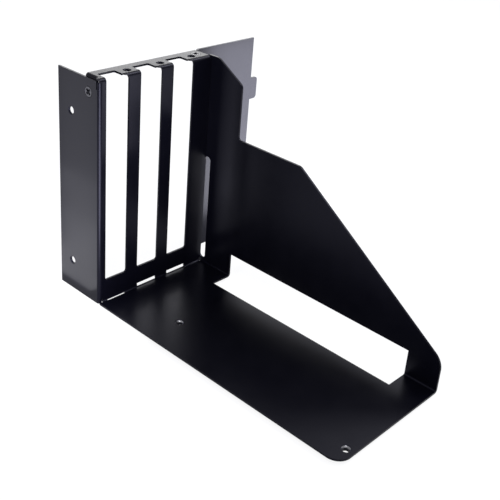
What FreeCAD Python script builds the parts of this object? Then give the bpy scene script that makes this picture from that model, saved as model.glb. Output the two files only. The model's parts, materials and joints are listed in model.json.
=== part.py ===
import FreeCAD, Part
import math
import os

# A mount that holds a graphics card upright beside the case's rear wall. One blank of sheet steel is
# folded into a shelf, a slot panel, a left plate, a top flange, a side wall and a rear wing, and two
# screws close it.
# Millimetres. X runs from the rear to the front, Y from the left plate to the side wall, and Z is up.
# While it is drawn, X = 0 is the slot panel's front face, Y = 0 the left plate's outer face and Z = 0 the
# shelf's underside. At the end everything moves to the row's origin.

V = FreeCAD.Vector

# Sheet and folds
sheet = 1.0             # thickness of the steel
bend = 0.8              # inside radius of the folds between walls
lap_bend = 0.4          # inside radius of the folds of the flap and the lap tab
relief = 0.6            # width of the slits that free the ends of the folds
lap = 0.1               # gap between two layers that lie on each other
seam = 0.3              # gap between the slot panel and the side wall
height = 117.7          # underside of the shelf to the top of the flange

# Card slots, at the standard pitch
slot_count = 3
slot_pitch = 20.32
slot_width = 13.3
slot_corner = 1.2
first_slot = 3.95       # left plate's outer face to the first slot
last_bar = 11.9         # last slot to the side wall's inner face
slot_bottom = 12.85
notch_inset = 3.2       # the notch's right edge, from the slot's right edge
notch_corner = 1.0

# Tongue slits in the fold under the slots, where the card's bracket ends
tongue_length = 13.2
tongue_reach = 0.1      # in front of the panel's front face
tongue_high = 3.0
first_tongue_length = 11.4
first_tongue_reach = 0.9
first_tongue_high = 1.1  # this slit stays within the fold
tongue_corner = 0.7

# Shelf
shelf_length = 153.9
shelf_corner = 7.0
shelf_hole = 3.0
rear_hole_x = 38.8      # from the slot panel's front face
rear_hole_y = 19.2      # from the shelf's left edge
front_hole_inset = 4.2  # from the shelf's front edge
front_hole_y = 9.3      # from the shelf's left edge
sink_depth = 0.8        # cone at the top of each shelf hole
dimple_depth = 1.5      # pressed out under the shelf, round each hole
dimple_rim = 0.7        # wall of the dimple at its lower end
dimple_flare = 1.0      # how much wider the dimple is where it meets the shelf

# Opening for the riser cable, across the fold of shelf and side wall
cable_rear = 22.4       # from the slot panel's front face
cable_front = 17.2      # from the shelf's front edge
cable_width = 12.0      # on the shelf, from the side wall's inner face
cable_rise = 14.0       # on the wall, from the underside

# Left plate, with the case screws
plate_length = 31.0     # behind the slot panel's front face
plate_drop = 1.4        # top of the flange to the plate's top edge
plate_fold_drop = 1.9   # top of the flange to the upper end of the plate's fold
case_hole = 3.4
case_lead = 0.5         # chamfer of a case hole
case_hole_back = 21.5   # behind the slot panel's front face
case_hole_low = 16.2
case_hole_drop = 20.9   # top of the flange to the upper hole
plate_slit_depth = 4.0  # slit beside the plate's fold, from the plate's top edge

# Top flange, with the card screws
flange_depth = 11.4     # behind the slot panel's front face
flange_strip = 4.2      # left behind the notches
flange_start = 0.4      # the left plate's outer face to the flange's left end
flange_gap = 0.9        # between the flange's right end and the side wall
card_hole_back = 4.4    # behind the slot panel's front face
card_hole_side = 2.0    # from the right edge of each slot
card_lead = 0.6         # chamfer of a card screw hole
flap_front = 3.4        # behind the slot panel's front face
flap_drop = 14.0        # top of the flange to the flap's lower edge
flap_corner = 2.0
collar_wall = 0.6       # drawn collars under the card screw holes
collar_depth = 0.9

# Side wall
wall_drop = 38.2        # below the wing's top
wall_knee = 63.1        # where the long slope starts
wall_end = 16.9         # where the long slope would meet the front edge
wall_knee_round = 4.5
wall_end_round = 9.0
ear_length = 22.0       # in front of the slot panel
ear_flat = 5.0          # level part of the ear's top
ear_drop = 10.0         # below the wing's top, where the ear's slope would meet its front edge
ear_shoulder_round = 6.0
ear_round = 3.0
ear_foot_round = 1.5
wall_low = 0.2          # underside of the shelf to the wall's foot, behind the shelf
corner_slot_width = 4.2
corner_slot_front = 3.4  # in front of the slot panel
corner_slot_low = 3.1
corner_slot_high = 63.2
tab_gap = 0.3           # between the lap tab and the last card screw's collar

# Rear wing
wing_width = 42.9       # from the side wall's inner face
wing_low = 2.0
lug_reach = 5.0
lug_drop = 22.7         # below the wing's top
lug_height = 12.3
lug_corner = 1.8

# Screws and tapped holes
thread = 3.0            # outer diameter of the thread
thread_gap = 0.05       # between a screw and its hole, all round
thread_lead = 0.4       # chamfer at a screw's tip
pass_gap = 0.2          # round a screw in the outer layer
head_width = 4.8        # flat head, flush with the outer layer
head_edge = 0.1         # straight rim of the head
screw_tail = 1.5        # past the inner layer
recess_width = 0.95
recess_span = 3.4
recess_tip = 1.6        # span at the recess's floor
recess_depth = 1.1
recess_turn = 45        # degrees
side_screw_drop = 8.0   # below the top of the flange
side_screw_back = 8.2   # behind the slot panel's front face
top_screw_back = 6.4    # behind the slot panel's front face
top_screw_edge = 2.5    # from the lap tab's edge

# Values that follow from the sizes above
outside = bend + sheet
lap_outside = lap_bend + sheet
slots = [first_slot + i * slot_pitch for i in range(slot_count)]
first_tongue = (first_tongue_length, first_tongue_reach, first_tongue_high)
tongue = (tongue_length, tongue_reach, tongue_high)
shelf_width = slots[-1] + slot_width + last_bar
panel_edge = shelf_width - seam
panel_start = outside + relief
flange_edge = shelf_width - flange_gap
panel_stop = shelf_width - bend - seam
wall_start = bend + seam
cable_end = shelf_length - cable_front
wing_edge = shelf_width + wing_width
wing_top = height
wall_top = wing_top - wall_drop
plate_top = height - plate_drop
case_hole_high = height - case_hole_drop
card_holes = [left + slot_width + card_hole_side for left in slots]
collar_width = thread + 2 * collar_wall
flap_face = sheet + lap
flap_line = flap_face + lap_outside
tab_top = height - sheet - lap
tab_line = tab_top - lap_outside
tab_front = outside + relief
tab_rear = flange_depth - outside
tab_edge = card_holes[-1] + collar_width / 2 + tab_gap
screw_sink = head_width / 2 + head_edge - thread / 2
screw_length = sheet + flap_face + screw_tail
shelf_holes = ((rear_hole_x, rear_hole_y), (shelf_length - front_hole_inset, front_hole_y))
origin = V((shelf_length - plate_length) / 2, (wing_edge + lug_reach) / 2, -dimple_depth)
X, Y, Z = V(1, 0, 0), V(0, 1, 0), V(0, 0, 1)


def outline(corners):
    """Closed wire through corners given as (point, radius), with an arc at each corner that has one."""
    edges = []
    ends = []
    for i, (point, radius) in enumerate(corners):
        back = (corners[i - 1][0] - point).normalize()
        ahead = (corners[(i + 1) % len(corners)][0] - point).normalize()
        if radius == 0:
            ends.append((point, point))
            continue
        half = back.getAngle(ahead) / 2
        run = radius / math.tan(half)
        middle = (back + ahead).normalize() * (radius / math.sin(half) - radius)
        start, stop = point + back * run, point + ahead * run
        edges.append(Part.Arc(start, point + middle, stop).toShape())
        ends.append((start, stop))
    for i, (start, stop) in enumerate(ends):
        before = ends[i - 1][1]
        if (start - before).Length > 1e-6:
            edges.append(Part.makeLine(before, start))
    return Part.Wire(Part.__sortEdges__(edges))


def prism(corners, along):
    """Solid with the given outline, pushed along a vector."""
    return Part.Face(outline(corners)).extrude(along)


def fold(centre, one, other, along, inside=bend):
    """Quarter turn of the sheet round a centre line, from the wall on one side to the wall on the other."""
    between = (one + other).normalize()
    reach = inside + sheet
    outer = Part.Arc(centre + one * reach, centre + between * reach, centre + other * reach)
    inner = Part.Arc(centre + other * inside, centre + between * inside, centre + one * inside)
    first = Part.makeLine(centre + other * reach, centre + other * inside)
    last = Part.makeLine(centre + one * inside, centre + one * reach)
    return Part.Face(Part.Wire([outer.toShape(), first, inner.toShape(), last])).extrude(along)


def plain(*points):
    """Corners without a radius."""
    return [(V(*point), 0) for point in points]


def hole(centre, inward, diameter, depth=sheet):
    """Cutter for a round hole through sheet, from its outer face."""
    return Part.makeCylinder(diameter / 2, depth + 2 * lap, centre - inward * lap, inward)


def led_hole(centre, inward, diameter, lead, depth=sheet):
    """Cutter for a hole with a chamfer or countersink of the given depth at its outer face."""
    cone = Part.makeCone(diameter / 2 + lead, diameter / 2, lead, centre, inward)
    return hole(centre, inward, diameter, depth).fuse(cone)


def shelf():
    """Flat floor, stepped back at its rear left corner to clear the left plate's fold, with its dimples."""
    corners = plain((relief, 0, 0)) + [(V(shelf_length, 0, 0), shelf_corner)]
    corners += plain((shelf_length, shelf_width - bend, 0), (bend, shelf_width - bend, 0))
    corners += plain((bend, panel_start, 0), (relief, panel_start, 0))
    low = shelf_hole / 2 + dimple_rim
    dimples = [Part.makeCone(low + dimple_flare, low, dimple_depth, V(x, y, 0), -Z) for x, y in shelf_holes]
    return [prism(corners, Z * sheet)] + dimples


def slot_panel():
    """Upright panel behind the shelf, with its three folds."""
    foot = outside + relief
    corners = plain((0, outside, foot), (0, panel_start, foot), (0, panel_start, outside))
    corners += plain((0, panel_stop, outside), (0, panel_stop, foot), (0, panel_edge, foot))
    corners += plain((0, panel_edge, height - outside), (0, outside, height - outside))
    panel = prism(corners, X * -sheet)
    foot_fold = fold(V(bend, panel_start, outside), -Z, -X, Y * (panel_stop - panel_start))
    plate_fold = fold(V(-outside, outside, 0), X, -Y, Z * (height - plate_fold_drop))
    flange_fold = fold(V(-outside, flange_start, height - outside), X, Z, Y * (flange_edge - flange_start))
    return [panel, foot_fold, plate_fold, flange_fold]


def left_plate():
    """Plate that lies along the case's side, with a slit beside its fold."""
    slit = outside + relief
    low = plate_top - plate_slit_depth
    corners = plain((-plate_length, 0, 0), (-outside, 0, 0), (-outside, 0, low), (-slit, 0, low))
    corners += plain((-slit, 0, plate_top), (-plate_length, 0, plate_top))
    return prism(corners, Y * sheet)


def top_flange():
    """Flange behind the slot panel's top, with its collars and the flap inside the left plate."""
    strip = flap_front - relief
    under = height - sheet
    corners = plain((-outside, flange_start, under), (-strip, flange_start, under))
    corners += plain((-strip, flap_line + relief, under))
    corners += plain((-flap_front, flap_line + relief, under), (-flap_front, flap_line, under))
    corners += plain((-flange_depth, flap_line, under), (-flange_depth, flange_edge, under))
    corners += plain((-outside, flange_edge, under))
    flange = prism(corners, Z * sheet)
    flap_top = height - lap_outside
    flap_width = flange_depth - flap_front
    flap_fold = fold(V(-flange_depth, flap_line, flap_top), Z, -Y, X * flap_width, lap_bend)
    flap = plain((-flange_depth, flap_face, flap_top), (-flap_front, flap_face, flap_top))
    flap += [(V(-flap_front, flap_face, height - flap_drop), flap_corner)]
    flap += [(V(-flange_depth, flap_face, height - flap_drop), flap_corner)]
    collars = [Part.makeCylinder(collar_width / 2, collar_depth, V(-card_hole_back, y, under), -Z)
               for y in card_holes]
    return [flange, flap_fold, prism(flap, Y * sheet)] + collars


def side_wall():
    """Tall wall with a sloping front, its lap tab under the top flange, and its fold to the shelf."""
    rear = bend - flange_depth
    low_tab = tab_line - relief
    y = shelf_width
    corners = plain((rear, y, wall_low), (bend, y, wall_low), (bend, y, outside), (shelf_length, y, outside))
    corners += [(V(shelf_length, y, wall_end), wall_end_round), (V(wall_knee, y, wall_top), wall_knee_round)]
    corners += [(V(ear_length, y, wall_top), ear_foot_round)]
    corners += [(V(ear_length, y, wing_top - ear_drop), ear_round)]
    corners += [(V(ear_flat, y, wing_top), ear_shoulder_round)]
    corners += plain((relief - tab_front, y, wing_top), (relief - tab_front, y, low_tab))
    corners += plain((-tab_front, y, low_tab), (-tab_front, y, tab_line), (-tab_rear, y, tab_line))
    corners += plain((-tab_rear, y, low_tab), (-tab_rear - relief, y, low_tab))
    corners += plain((-tab_rear - relief, y, wing_top), (rear, y, wing_top))
    wall = prism(corners, Y * sheet)
    shelf_fold = fold(V(wall_start, y - bend, outside), -Z, Y, X * (shelf_length - wall_start))
    tab_fold = fold(V(-tab_rear, y - lap_bend, tab_line), Z, Y, X * (tab_rear - tab_front), lap_bend)
    tab = plain((-tab_rear, y - lap_bend, tab_top), (-tab_front, y - lap_bend, tab_top))
    tab += plain((-tab_front, tab_edge, tab_top), (-tab_rear, tab_edge, tab_top))
    return [wall, shelf_fold, tab_fold, prism(tab, Z * -sheet)]


def rear_wing():
    """Cover beside the slots, folded outward from the side wall's rear edge, with its lug."""
    x = -flange_depth
    lug_edge = wing_edge + lug_reach
    lug_top = wing_top - lug_drop
    lug_low = lug_top - lug_height
    start = shelf_width + outside
    corners = plain((x, start, wing_low), (x, wing_edge, wing_low), (x, wing_edge, lug_low))
    corners += [(V(x, lug_edge, lug_low), lug_corner), (V(x, lug_edge, lug_top), lug_corner)]
    corners += plain((x, wing_edge, lug_top), (x, wing_edge, wing_top), (x, start, wing_top))
    wing_fold = fold(V(x + bend, start, wing_low), -X, -Y, Z * (wing_top - wing_low))
    return [prism(corners, X * -sheet), wing_fold]


def slot_cuts():
    """Cutters for the card slots, their notches in the flange, the tongue slits and the card screw holes."""
    cuts = []
    over = height + lap
    ahead = sheet + lap
    for i, left in enumerate(slots):
        right = left + slot_width
        window = [(V(ahead, left, slot_bottom), slot_corner), (V(ahead, right, slot_bottom), slot_corner)]
        edge = right - notch_inset
        window += [(V(ahead, right, height), notch_inset)]
        window += plain((ahead, edge, height), (ahead, edge, over), (ahead, left, over))
        cuts.append(prism(window, X * -(2 * ahead + bend)))
        rear = flange_strip - flange_depth
        notch = [(V(rear, left, over), notch_corner), (V(rear, edge, over), notch_corner)]
        notch += plain((ahead, edge, over), (ahead, left, over))
        cuts.append(prism(notch, Z * -(outside + lap)))
        length, reach, rise = first_tongue if i == 0 else tongue
        start = (left + right - length) / 2
        stop = start + length
        slit = [(V(reach, start, -lap), tongue_corner), (V(reach, stop, -lap), tongue_corner)]
        slit += plain((-ahead, stop, -lap), (-ahead, start, -lap))
        cuts.append(prism(slit, Z * (rise + lap)))
        place = V(-card_hole_back, card_holes[i], height)
        cuts.append(led_hole(place, -Z, thread, card_lead, sheet + collar_depth))
    return cuts


def wall_cuts():
    """Cutters for the cable opening and for the round-ended slot in the corner beside the slot panel."""
    inner = shelf_width - seam / 2
    through = sheet + seam
    cable = Part.makeBox(cable_end - cable_rear, cable_width + through, cable_rise + lap,
                         V(cable_rear, shelf_width - cable_width, -lap))
    rear = corner_slot_front - corner_slot_width
    round_end = corner_slot_width / 2 - 1e-3
    places = ((rear, corner_slot_low), (corner_slot_front, corner_slot_low),
              (corner_slot_front, corner_slot_high), (rear, corner_slot_high))
    corner_slot = prism([(V(x, inner, z), round_end) for x, z in places], Y * through)
    return [cable, corner_slot]


def screw_cuts():
    """Cutters for the holes in the shelf and the left plate, and for the two fixing screws."""
    through = sheet + dimple_depth
    cuts = [led_hole(V(x, y, sheet), -Z, shelf_hole, sink_depth, through) for x, y in shelf_holes]
    for z in (case_hole_low, case_hole_high):
        cuts.append(led_hole(V(-case_hole_back, 0, z), Y, case_hole, case_lead))
    for seat, inward in (side_seat, top_seat):
        cuts.append(led_hole(seat, inward, thread + 2 * pass_gap, screw_sink))
        cuts.append(Part.makeCylinder(thread / 2, sheet + lap, seat + inward * flap_face, inward))
    return cuts


def bracket():
    """The folded sheet, one solid."""
    walls = shelf() + [left_plate()] + slot_panel() + top_flange() + side_wall() + rear_wing()
    body = walls[0].multiFuse(walls[1:]).removeSplitter()
    return body.cut(slot_cuts() + wall_cuts() + screw_cuts()).removeSplitter()


def screw(seat, inward):
    """Flat head screw with a cross recess, its head level with a seat and its thread pointing inward."""
    rim = head_width / 2
    shank = thread / 2 - thread_gap
    neck = head_edge + rim - shank
    tip = thread_lead
    turns = [V(0, 0, 0), V(rim, 0, 0), V(rim, 0, head_edge), V(shank, 0, neck),
             V(shank, 0, screw_length - tip), V(shank - tip, 0, screw_length),
             V(0, 0, screw_length), V(0, 0, 0)]
    body = Part.Face(Part.makePolygon(turns)).revolve(V(0, 0, 0), Z, 360)
    arm = Part.makeBox(recess_span, recess_width, recess_depth, V(-recess_span / 2, -recess_width / 2, 0))
    cross = arm.fuse(arm.rotated(V(0, 0, 0), Z, 90))
    taper = Part.makeCone(recess_span / 2, recess_tip / 2, recess_depth)
    body = body.cut(cross.common(taper).rotated(V(0, 0, 0), Z, recess_turn))
    body.Placement = FreeCAD.Placement(seat, FreeCAD.Rotation(Z, inward))
    return body


side_seat = (V(-side_screw_back, 0, height - side_screw_drop), Y)
top_seat = (V(-top_screw_back, tab_edge + top_screw_edge, height), -Z)
nodes = {"folded_bracket": bracket(), "side_screw": screw(*side_seat), "top_screw": screw(*top_seat)}
os.makedirs("parts", exist_ok=True)
for name, shape in nodes.items():
    shape.translate(-origin)
    shape.exportStep(f"parts/{name}.step")
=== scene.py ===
import json
import math
import bmesh
import bpy
import numpy as np
from mathutils import Matrix, Vector


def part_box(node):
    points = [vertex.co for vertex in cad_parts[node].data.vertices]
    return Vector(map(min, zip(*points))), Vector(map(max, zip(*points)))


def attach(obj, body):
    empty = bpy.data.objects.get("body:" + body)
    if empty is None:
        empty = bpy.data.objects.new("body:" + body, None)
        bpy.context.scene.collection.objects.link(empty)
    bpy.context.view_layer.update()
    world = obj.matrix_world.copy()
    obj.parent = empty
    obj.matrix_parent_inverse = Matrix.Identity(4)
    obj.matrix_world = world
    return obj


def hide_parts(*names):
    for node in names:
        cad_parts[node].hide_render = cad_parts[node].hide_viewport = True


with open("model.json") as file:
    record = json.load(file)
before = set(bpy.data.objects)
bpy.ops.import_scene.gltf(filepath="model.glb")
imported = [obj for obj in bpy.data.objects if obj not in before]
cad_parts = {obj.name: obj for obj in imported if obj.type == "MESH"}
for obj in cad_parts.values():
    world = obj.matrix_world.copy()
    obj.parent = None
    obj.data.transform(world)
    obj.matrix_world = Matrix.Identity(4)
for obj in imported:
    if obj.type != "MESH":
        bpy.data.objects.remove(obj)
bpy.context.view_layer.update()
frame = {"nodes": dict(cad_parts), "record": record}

bl_info = {
    "name": "Vertical graphics card mount",
    "version": (1, 0, 0),
    "blender": (4, 5, 0),
    "location": "3D View > Sidebar > Card mount",
    "description": "Looks of a folded sheet steel mount for a graphics card, and the stage it stands on",
    "category": "Object",
}

MM = 0.001

# Real sizes of the patterns in the finishes
CLOUD = 9 * MM
PEEL = 1.1 * MM
PEEL_HEIGHT = 0.02 * MM
GRAIN = 0.6 * MM

# In the sheet, points nearer than WELD are one and faces turned by less than FLAT are one, and edges
# sharper than CUT_EDGE get rounded. On the screws, edges sharper than SCREW_EDGE stay sharp.
WELD = 0.001 * MM
FLAT = math.radians(0.5)
CUT_EDGE = math.radians(35)
SCREW_EDGE = math.radians(38)

# Each screw's axes in the frame: two across it, and the way that it is driven
SCREW_AXES = {
    "side_screw": ((0, 0, 1), (1, 0, 0), (0, 1, 0)),
    "top_screw": ((0, 1, 0), (1, 0, 0), (0, 0, -1)),
}

# The floor reaches this far each way, and lies this far below the part so that no faces coincide
FLOOR_REACH = 3.0
FLOOR_GAP = 0.2 * MM
CLIP_START = 10 * MM

# Name, place, point that the lamp faces, width and height, all in metres, and radiance. A radiance of 1 is
# as bright as white paper. Seen straight on, the black coat mirrors about a hundredth of what it faces, so
# the cards near it are brighter than paper.
LAMPS = (
    # Top flange and, through the slots, rear of the shelf
    ("rear_left_softbox", (-0.573, 0.42, 0.3), (-0.068, -0.02, 0.118), (0.5, 0.17), 3.9),
    # Front of the shelf
    ("rear_right_softbox", (-0.32, 0.69, 0.63), (0.0, 0.0, 0.0), (0.5, 0.36), 1.4),
    # Wing
    ("right_card", (-0.045, 0.078, 0.057), (-0.5, 0.078, 0.057), (0.062, 0.11), 16.5),
    # Upper ends of the bars between the slots
    ("right_floor_card", (0.2, 0.2, 0.003), (0.2, 0.21, 1.0), (0.13, 0.13), 3.2),
    # Left plate, where each lower card adds to the one above, so that it grows lighter towards its foot
    ("left_tall_card", (-0.0985, -0.075, 0.0605), (-0.0985, 0.4, 0.0605), (0.038, 0.115), 1.4),
    ("left_middle_card", (-0.0985, -0.0755, 0.029), (-0.0985, 0.4, 0.029), (0.038, 0.052), 1.1),
    ("left_low_card", (-0.0985, -0.076, 0.0165), (-0.0985, 0.4, 0.0165), (0.038, 0.027), 0.9),
    ("left_floor_card", (-0.1, -0.0685, 0.003), (-0.1, -0.0785, 1.0), (0.055, 0.013), 3.0),
    # Fold between the left plate and the slots
    ("fold_card", (-0.02, -0.118, 0.05), (-0.5, -0.118, 0.05), (0.065, 0.1), 20.0),
    # Upper end of the first bar
    ("bay_card", (-0.035, -0.031, 0.092), (-0.5, -0.031, 0.092), (0.034, 0.05), 2.6),
    # Front of the side wall
    ("front_floor_strip", (0.08, -0.125, 0.003), (0.0893, -0.1286, 1.0), (0.034, 0.14), 17.0),
    # Rounded edges and bends
    ("right_high_softbox", (0.2, 0.48, 0.74), (0.0, 0.0, 0.06), (0.3, 0.3), 15.0),
    # Rubbed steel in the shelf's holes, and the floor
    ("key_softbox", (0.36, -0.3, 0.64), (0.0, 0.0, 0.0), (0.3, 0.3), 7.0),
)


def linear(code):
    """Linear RGBA of an sRGB hex value: each channel goes through the sRGB curve, and alpha is 1."""
    shown = np.array([int(code[i:i + 2], 16) for i in (0, 2, 4)]) / 255
    light = np.where(shown <= 0.04045, shown / 12.92, ((shown + 0.055) / 1.055) ** 2.4)
    return (*light.tolist(), 1.0)


def add(tree, kind, inputs=None, **settings):
    """One node of a kind, with its settings, and each input set to a value or linked to an output."""
    made = tree.nodes.new(kind)
    for name, value in settings.items():
        setattr(made, name, value)
    for name, value in (inputs or {}).items():
        if isinstance(value, bpy.types.NodeSocket):
            tree.links.new(value, made.inputs[name])
        else:
            made.inputs[name].default_value = value
    return made


def bare_tree(owner):
    """Empty node tree of a new material or world."""
    owner.use_nodes = True
    owner.node_tree.nodes.clear()
    return owner.node_tree


def seen_plainly(tree):
    """One where the camera, a reflection or a clear piece sees the backdrop, and zero where the backdrop
    only gives light."""
    path = add(tree, "ShaderNodeLightPath").outputs
    seen = path["Is Camera Ray"]
    for ray in ("Is Glossy Ray", "Is Transmission Ray"):
        seen = add(tree, "ShaderNodeMath", {0: seen, 1: path[ray]}, operation="MAXIMUM").outputs[0]
    return seen


class MountSizes(bpy.types.PropertyGroup):
    """Small forms and marks that the finished metal has and the bare solids lack."""
    edge_round: bpy.props.FloatProperty(
        name="Edge rounding", description="Width of the round that the coat gives to every cut edge",
        default=0.16 * MM, unit="LENGTH", precision=5)
    thread_pitch: bpy.props.FloatProperty(
        name="Thread pitch", description="Distance between two turns of the screw threads",
        default=0.5 * MM, unit="LENGTH", precision=5)
    thread_depth: bpy.props.FloatProperty(
        name="Thread depth", description="Crest to root of the screw threads",
        default=0.28 * MM, unit="LENGTH", precision=5)
    thread_width: bpy.props.FloatProperty(
        name="Thread width", description="Across the crests of the screw threads",
        default=2.9 * MM, unit="LENGTH", precision=5)
    thread_start: bpy.props.FloatProperty(
        name="Thread start", description="Length below the head over which the thread reaches its depth",
        default=0.3 * MM, unit="LENGTH", precision=5)
    head_edge: bpy.props.FloatProperty(
        name="Head edge", description="Straight rim of the screw heads",
        default=0.1 * MM, unit="LENGTH", precision=5)
    recess_span: bpy.props.FloatProperty(
        name="Recess span", description="Tip to tip of the cross recess",
        default=3.5 * MM, unit="LENGTH", precision=5)
    recess_width: bpy.props.FloatProperty(
        name="Recess width", description="Across one arm of the cross recess",
        default=1.25 * MM, unit="LENGTH", precision=5)
    recess_depth: bpy.props.FloatProperty(
        name="Recess depth", description="Head's face to the floor of the cross recess",
        default=1.05 * MM, unit="LENGTH", precision=5)
    recess_draft: bpy.props.FloatProperty(
        name="Recess draft", description="How far the walls of the cross recess lean in",
        default=0.1 * MM, unit="LENGTH", precision=5)
    tip_slope: bpy.props.FloatProperty(
        name="Tip slope", description="Width and height of the slope round the screw tips",
        default=0.35 * MM, unit="LENGTH", precision=5)
    rub_height: bpy.props.FloatProperty(
        name="Rub height", description="Middle of a rubbing screw head over the shelf's top",
        default=0.6 * MM, unit="LENGTH", precision=5)
    rub_reach: bpy.props.FloatProperty(
        name="Rub reach", description="Distance from that middle at which the coat is whole",
        default=2.26 * MM, unit="LENGTH", precision=5)
    rub_edge: bpy.props.FloatProperty(
        name="Rub edge", description="Width over which the coat gives way to steel",
        default=0.1 * MM, unit="LENGTH", precision=5)


class MountColours(bpy.types.PropertyGroup):
    """Colours of the finishes and of the stage."""
    coat: bpy.props.FloatVectorProperty(
        name="Coat", description="Black of the powder coat", subtype="COLOR", size=4,
        default=linear("030307"))
    coat_thin: bpy.props.FloatVectorProperty(
        name="Coat, thin", description="Where the coat is a little thinner", subtype="COLOR", size=4,
        default=linear("05050a"))
    coat_sheen: bpy.props.FloatVectorProperty(
        name="Coat sheen", description="Cool tint of what the coat mirrors", subtype="COLOR", size=4,
        default=linear("dadaff"))
    steel: bpy.props.FloatVectorProperty(
        name="Bare steel", description="Where the coat is rubbed off", subtype="COLOR", size=4,
        default=linear("707074"))
    plating: bpy.props.FloatVectorProperty(
        name="Plating", description="Black zinc of the screws", subtype="COLOR", size=4,
        default=linear("303036"))
    floor: bpy.props.FloatVectorProperty(
        name="Floor", description="Paper that the mount stands on", subtype="COLOR", size=4,
        default=linear("f4f4f5"))
    room: bpy.props.FloatVectorProperty(
        name="Room", description="Even light from all round", subtype="COLOR", size=4,
        default=linear("e8ecff"))
    backdrop: bpy.props.FloatVectorProperty(
        name="Backdrop", description="What the camera and gloss see behind the mount", subtype="COLOR",
        size=4, default=linear("ffffff"))


class MountStage(bpy.types.PropertyGroup):
    """Camera and light."""
    camera_place: bpy.props.FloatVectorProperty(
        name="Camera", description="Where the camera stands", subtype="TRANSLATION",
        default=(239.02 * MM, -291.913 * MM, 245.059 * MM))
    camera_turn: bpy.props.FloatVectorProperty(
        name="Camera turn", description="Heading from +X, angle below the horizon, and roll",
        subtype="EULER", default=(math.radians(131.416), math.radians(25.271), math.radians(-4.793)))
    lens: bpy.props.FloatProperty(
        name="Lens", description="Focal length in millimetres", default=63.468, unit="CAMERA")
    lens_shift: bpy.props.FloatVectorProperty(
        name="Lens shift", description="Frame's place right of and above the lens axis, in frame widths",
        size=2, default=(-0.001, -0.109))
    room_light: bpy.props.FloatProperty(
        name="Room light", description="Strength of the even light from all round", default=1.0)
    floor_white: bpy.props.FloatProperty(
        name="Floor white", description="Share of plain white in the floor as the camera and gloss see it",
        subtype="FACTOR", default=0.88)


def powder_coat(sizes, colours):
    """Semi-gloss black powder coat, sprayed on and baked. It flows to a smooth film with a faint orange peel
    about a millimetre across, so it mirrors the room softly and stays nearly black where the room is dark.
    In the two countersinks of the shelf, screw heads have rubbed it down to bright steel: within a sphere
    round each hole's axis, a little over the shelf."""
    material = bpy.data.materials.new("semi_gloss_black_powder_coat")
    tree = bare_tree(material)
    place = add(tree, "ShaderNodeTexCoord").outputs["Object"]
    cloud = add(tree, "ShaderNodeTexNoise", {"Vector": place, "Scale": 1 / CLOUD, "Detail": 3.0})
    # Inputs 6 and 7 and output 2 of a Mix node are its colours
    black = add(tree, "ShaderNodeMix",
                {"Factor": cloud.outputs["Fac"], 6: colours.coat, 7: colours.coat_thin},
                data_type="RGBA")
    mounts = {mount["name"]: Vector(mount["pos_m"]) for mount in frame["record"]["mounts"]}
    level = mounts["shelf_top"].z + sizes.rub_height
    far = [add(tree, "ShaderNodeVectorMath", {0: place, 1: (*mounts[name].xy, level)}, operation="DISTANCE")
           for name in ("shelf_hole_rear", "shelf_hole_front")]
    near = add(tree, "ShaderNodeMath", {i: each.outputs["Value"] for i, each in enumerate(far)},
               operation="MINIMUM")
    bare = add(tree, "ShaderNodeMapRange",
               {"Value": near.outputs[0], "From Min": sizes.rub_reach,
                "From Max": sizes.rub_reach - sizes.rub_edge})
    colour = add(tree, "ShaderNodeMix",
                 {"Factor": bare.outputs["Result"], 6: black.outputs[2], 7: colours.steel},
                 data_type="RGBA")
    gloss = add(tree, "ShaderNodeMapRange",
                {"Value": cloud.outputs["Fac"], "From Min": 0.3, "From Max": 0.7,
                 "To Min": 0.28, "To Max": 0.32})
    peel = add(tree, "ShaderNodeTexNoise", {"Vector": place, "Scale": 1 / PEEL, "Detail": 1.0})
    skin = add(tree, "ShaderNodeBump",
               {"Height": peel.outputs["Fac"], "Strength": 0.1, "Distance": PEEL_HEIGHT})
    # A coat of this kind has an IOR near 1.5. The lower one keeps a white floor from greying the dark faces.
    shader = add(tree, "ShaderNodeBsdfPrincipled",
                 {"Base Color": colour.outputs[2], "Metallic": bare.outputs["Result"], "IOR": 1.2,
                  "Roughness": gloss.outputs["Result"], "Specular Tint": colours.coat_sheen,
                  "Normal": skin.outputs["Normal"]})
    add(tree, "ShaderNodeOutputMaterial", {"Surface": shader.outputs["BSDF"]})
    return material


def black_zinc(colours):
    """Black zinc plating on a rolled steel screw: thin, a little shinier than the coat, with fine marks."""
    material = bpy.data.materials.new("black_zinc_plated_steel")
    tree = bare_tree(material)
    place = add(tree, "ShaderNodeTexCoord").outputs["Object"]
    grain = add(tree, "ShaderNodeTexNoise", {"Vector": place, "Scale": 1 / GRAIN, "Detail": 3.0})
    gloss = add(tree, "ShaderNodeMapRange",
                {"Value": grain.outputs["Fac"], "From Min": 0.3, "From Max": 0.7,
                 "To Min": 0.24, "To Max": 0.36})
    shader = add(tree, "ShaderNodeBsdfPrincipled",
                 {"Base Color": colours.plating, "Metallic": 0.75, "Roughness": gloss.outputs["Result"]})
    add(tree, "ShaderNodeOutputMaterial", {"Surface": shader.outputs["BSDF"]})
    return material


def link_piece(name, mesh, material, node):
    """Object of a finished mesh at the origin, which rides on the one body and takes a node's place."""
    mesh.materials.clear()
    mesh.materials.append(material)
    piece = bpy.data.objects.new(name, mesh)
    bpy.context.scene.collection.objects.link(piece)
    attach(piece, "root")
    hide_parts(node)
    return piece


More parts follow.
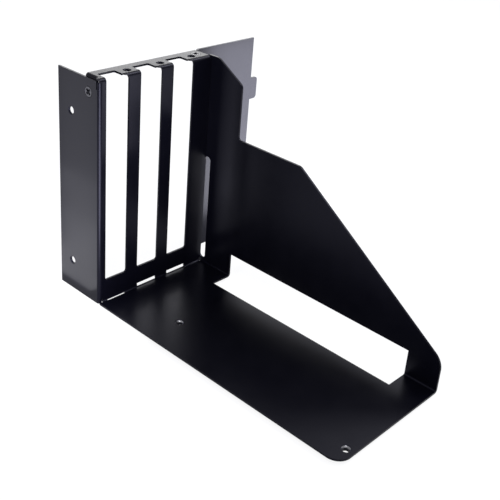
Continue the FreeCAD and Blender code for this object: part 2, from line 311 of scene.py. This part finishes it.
def screw_surface(sizes, width, length):
    """Points and faces of a flat head screw, drawn from its head's middle to its tip, with the depth below
    the head's face as third coordinate. The profile is a ring of radius r at depth z, carried round the
    axis. On the head's face the depth is that of the cross recess: full where a point lies inside the cross
    outline by more than the draft, and zero outside it. Below the cone the radius is the crest less a
    triangle wave of the depth over the pitch less the share of a turn, which is a right-hand thread. Both
    ends close in one point."""
    facets, face_rings, cone_rings, shank_rings, tip_rings = 144, 49, 7, 64, 5
    angle = np.arange(facets) * 2 * np.pi / facets
    rim, crest, tip = width / 2, sizes.thread_width / 2, sizes.tip_slope
    neck = sizes.head_edge + rim - crest
    face = np.linspace(0, rim, face_rings)[1:]
    cone = np.linspace(sizes.head_edge, neck, cone_rings)
    shank = np.linspace(neck, length - tip, shank_rings)[1:]
    slope = np.linspace(0, 1, tip_rings)[1:-1]
    close = np.linspace(1, 0, tip_rings)[:-1]
    radius = np.concatenate([face, rim - (cone - sizes.head_edge), np.full(shank.size, crest),
                             crest - tip * slope, (crest - tip) * close])
    depth = np.concatenate([np.zeros(face.size), cone, shank,
                            length - tip + tip * slope, np.full(close.size, length)])
    ring, turn = np.meshgrid(radius, angle, indexing="ij")
    deep = np.repeat(depth[:, None], facets, 1)

    arm = np.stack([np.cos(turn - np.pi / 4), np.sin(turn - np.pi / 4)]) * ring
    far, near = np.abs(arm).max(0), np.abs(arm).min(0)
    outside = np.maximum(near - sizes.recess_width / 2, far - sizes.recess_span / 2)
    sunk = np.clip(-outside / sizes.recess_draft, 0, 1) * sizes.recess_depth
    deep[:face.size] = sunk[:face.size]

    first = face.size + cone.size
    thread = slice(first, first + shank.size)
    phase = (deep[thread] / sizes.thread_pitch - turn[thread] / (2 * np.pi)) % 1
    fade = np.clip((deep[thread] - neck) / sizes.thread_start, 0, 1)
    ring[thread] -= fade * sizes.thread_depth * (1 - np.abs(2 * phase - 1))

    grid = np.stack([ring * np.cos(turn), ring * np.sin(turn), deep], -1).reshape(-1, 3)
    points = np.concatenate([grid, [[0, 0, sizes.recess_depth], [0, 0, length]]])
    here = np.arange(len(grid)).reshape(-1, facets)
    ahead = np.roll(here, -1, 1)
    sides = np.stack([here[:-1], here[1:], ahead[1:], ahead[:-1]], -1).reshape(-1, 4)
    top = np.stack([np.full(facets, len(grid)), here[0], ahead[0]], -1)
    bottom = np.stack([np.full(facets, len(grid) + 1), ahead[-1], here[-1]], -1)
    return points, sides.tolist() + top.tolist() + bottom.tolist()


class MOUNT_OT_sheet(bpy.types.Operator):
    """Coat the folded sheet and round its cut edges"""
    bl_idname = "mount.sheet"
    bl_label = "Coated sheet"

    def execute(self, context):
        scene = context.scene
        mesh = frame["nodes"]["folded_bracket"].data.copy()
        mesh.name = "coated_sheet"
        shape = bmesh.new()
        shape.from_mesh(mesh)
        bmesh.ops.remove_doubles(shape, verts=shape.verts, dist=WELD)
        bmesh.ops.dissolve_limit(shape, angle_limit=FLAT, verts=shape.verts, edges=shape.edges)
        for face in shape.faces:
            face.smooth = True
        shape.to_mesh(mesh)
        shape.free()
        coat = powder_coat(scene.mount_sizes, scene.mount_colours)
        piece = link_piece("coated_sheet", mesh, coat, "folded_bracket")
        bevel = piece.modifiers.new("edge_round", "BEVEL")
        bevel.width = scene.mount_sizes.edge_round
        bevel.segments = 2
        bevel.limit_method = "ANGLE"
        bevel.angle_limit = CUT_EDGE
        flat = piece.modifiers.new("flat_walls", "WEIGHTED_NORMAL")
        flat.mode = "FACE_AREA"
        flat.weight = 100
        return {"FINISHED"}


class MOUNT_OT_screws(bpy.types.Operator):
    """Turn the two fixing screws, with their cross recesses and threads"""
    bl_idname = "mount.screws"
    bl_label = "Fixing screws"

    def execute(self, context):
        scene = context.scene
        material = black_zinc(scene.mount_colours)
        for node, axes in SCREW_AXES.items():
            low, high = np.array(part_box(node))
            turn = np.array(axes, float)
            span = np.abs(turn @ (high - low))
            points, faces = screw_surface(scene.mount_sizes, span[0], span[2])
            seat = (low + high) / 2 - turn[2] * span[2] / 2
            mesh = bpy.data.meshes.new(node)
            mesh.from_pydata((seat + points @ turn).tolist(), [], faces)
            mesh.shade_smooth()
            mesh.set_sharp_from_angle(angle=SCREW_EDGE)
            link_piece(f"{node}_plated", mesh, material, node)
        return {"FINISHED"}


class MOUNT_OT_stage(bpy.types.Operator):
    """Lay the floor, hang the lamps and set the camera"""
    bl_idname = "mount.stage"
    bl_label = "Stage"

    def execute(self, context):
        scene = context.scene
        scene.view_settings.view_transform = "Standard"
        self.floor(scene)
        self.room(scene)
        self.lamps(scene)
        self.camera(scene)
        return {"FINISHED"}

    def floor(self, scene):
        """White paper. To the camera and to gloss most of it is plain backdrop, and the rest keeps the
        shadow."""
        colours = scene.mount_colours
        mesh = bpy.data.meshes.new("floor")
        corners = np.array([(-1, -1), (1, -1), (1, 1), (-1, 1)]) * FLOOR_REACH
        points = np.column_stack([corners, np.full(len(corners), -FLOOR_GAP)])
        mesh.from_pydata(points.tolist(), [], [(0, 1, 2, 3)])
        material = bpy.data.materials.new("white_paper")
        tree = bare_tree(material)
        paper = add(tree, "ShaderNodeBsdfDiffuse", {"Color": colours.floor})
        white = add(tree, "ShaderNodeEmission", {"Color": colours.backdrop, "Strength": 1.0})
        share = add(tree, "ShaderNodeMath", {0: seen_plainly(tree), 1: scene.mount_stage.floor_white},
                    operation="MULTIPLY")
        mix = add(tree, "ShaderNodeMixShader",
                  {0: share.outputs[0], 1: paper.outputs[0], 2: white.outputs[0]})
        add(tree, "ShaderNodeOutputMaterial", {"Surface": mix.outputs[0]})
        mesh.materials.append(material)
        floor = bpy.data.objects.new("floor", mesh)
        scene.collection.objects.link(floor)

    def room(self, scene):
        """Even, slightly cool light, with the plain backdrop where the camera and gloss see it."""
        colours = scene.mount_colours
        world = bpy.data.worlds.new("pale_room")
        scene.world = world
        tree = bare_tree(world)
        light = add(tree, "ShaderNodeBackground",
                    {"Color": colours.room, "Strength": scene.mount_stage.room_light})
        white = add(tree, "ShaderNodeBackground", {"Color": colours.backdrop, "Strength": 1.0})
        mix = add(tree, "ShaderNodeMixShader",
                  {0: seen_plainly(tree), 1: light.outputs[0], 2: white.outputs[0]})
        add(tree, "ShaderNodeOutputWorld", {"Surface": mix.outputs[0]})

    def lamps(self, scene):
        """Softboxes and cards. The energy of an area lamp is its radiance times pi times its area."""
        for name, place, aim, size, radiance in LAMPS:
            lamp = bpy.data.lights.new(name, "AREA")
            lamp.shape = "RECTANGLE"
            lamp.size, lamp.size_y = size
            lamp.energy = radiance * math.pi * size[0] * size[1]
            box = bpy.data.objects.new(name, lamp)
            box.location = place
            facing = (Vector(aim) - Vector(place)).to_track_quat("-Z", "Y")
            box.rotation_euler = facing.to_euler()
            box.visible_camera = False
            scene.collection.objects.link(box)

    def camera(self, scene):
        """Camera at its place, turned to its heading, tilted down, then rolled about the lens axis."""
        stage = scene.mount_stage
        heading, tilt, roll = stage.camera_turn
        level = np.array([math.cos(heading), math.sin(heading), 0])
        ahead = level * math.cos(tilt) - np.array([0, 0, math.sin(tilt)])
        right = np.cross(ahead, (0, 0, 1))
        right /= np.linalg.norm(right)
        down = np.cross(ahead, right)
        right, down = (right * math.cos(roll) + down * math.sin(roll),
                       down * math.cos(roll) - right * math.sin(roll))
        lens = bpy.data.cameras.new("camera")
        lens.lens = stage.lens
        lens.shift_x, lens.shift_y = stage.lens_shift
        lens.clip_start = CLIP_START
        camera = bpy.data.objects.new("camera", lens)
        turn = np.eye(4)
        turn[:3] = np.stack([right, -down, -ahead, np.array(stage.camera_place)], 1)
        camera.matrix_world = Matrix(turn.tolist())
        scene.collection.objects.link(camera)
        scene.camera = camera


class MOUNT_PT_panel(bpy.types.Panel):
    """Sizes, colours and pieces of the card mount"""
    bl_idname = "MOUNT_PT_panel"
    bl_label = "Card mount"
    bl_space_type = "VIEW_3D"
    bl_region_type = "UI"
    bl_category = "Card mount"

    def draw(self, context):
        scene = context.scene
        for group in (scene.mount_sizes, scene.mount_colours, scene.mount_stage):
            box = self.layout.box()
            for name in group.__annotations__:
                box.prop(group, name)
        for operator in (MOUNT_OT_sheet, MOUNT_OT_screws, MOUNT_OT_stage):
            self.layout.operator(operator.bl_idname)


classes = (MountSizes, MountColours, MountStage,
           MOUNT_OT_sheet, MOUNT_OT_screws, MOUNT_OT_stage, MOUNT_PT_panel)


def register():
    for each in classes:
        bpy.utils.register_class(each)
    bpy.types.Scene.mount_sizes = bpy.props.PointerProperty(type=MountSizes)
    bpy.types.Scene.mount_colours = bpy.props.PointerProperty(type=MountColours)
    bpy.types.Scene.mount_stage = bpy.props.PointerProperty(type=MountStage)


def unregister():
    del bpy.types.Scene.mount_stage, bpy.types.Scene.mount_colours, bpy.types.Scene.mount_sizes
    for each in reversed(classes):
        bpy.utils.unregister_class(each)


def main():
    """Make the pieces and the stage."""
    register()
    bpy.ops.mount.sheet()
    bpy.ops.mount.screws()
    bpy.ops.mount.stage()


if __name__ == "__main__":
    main()
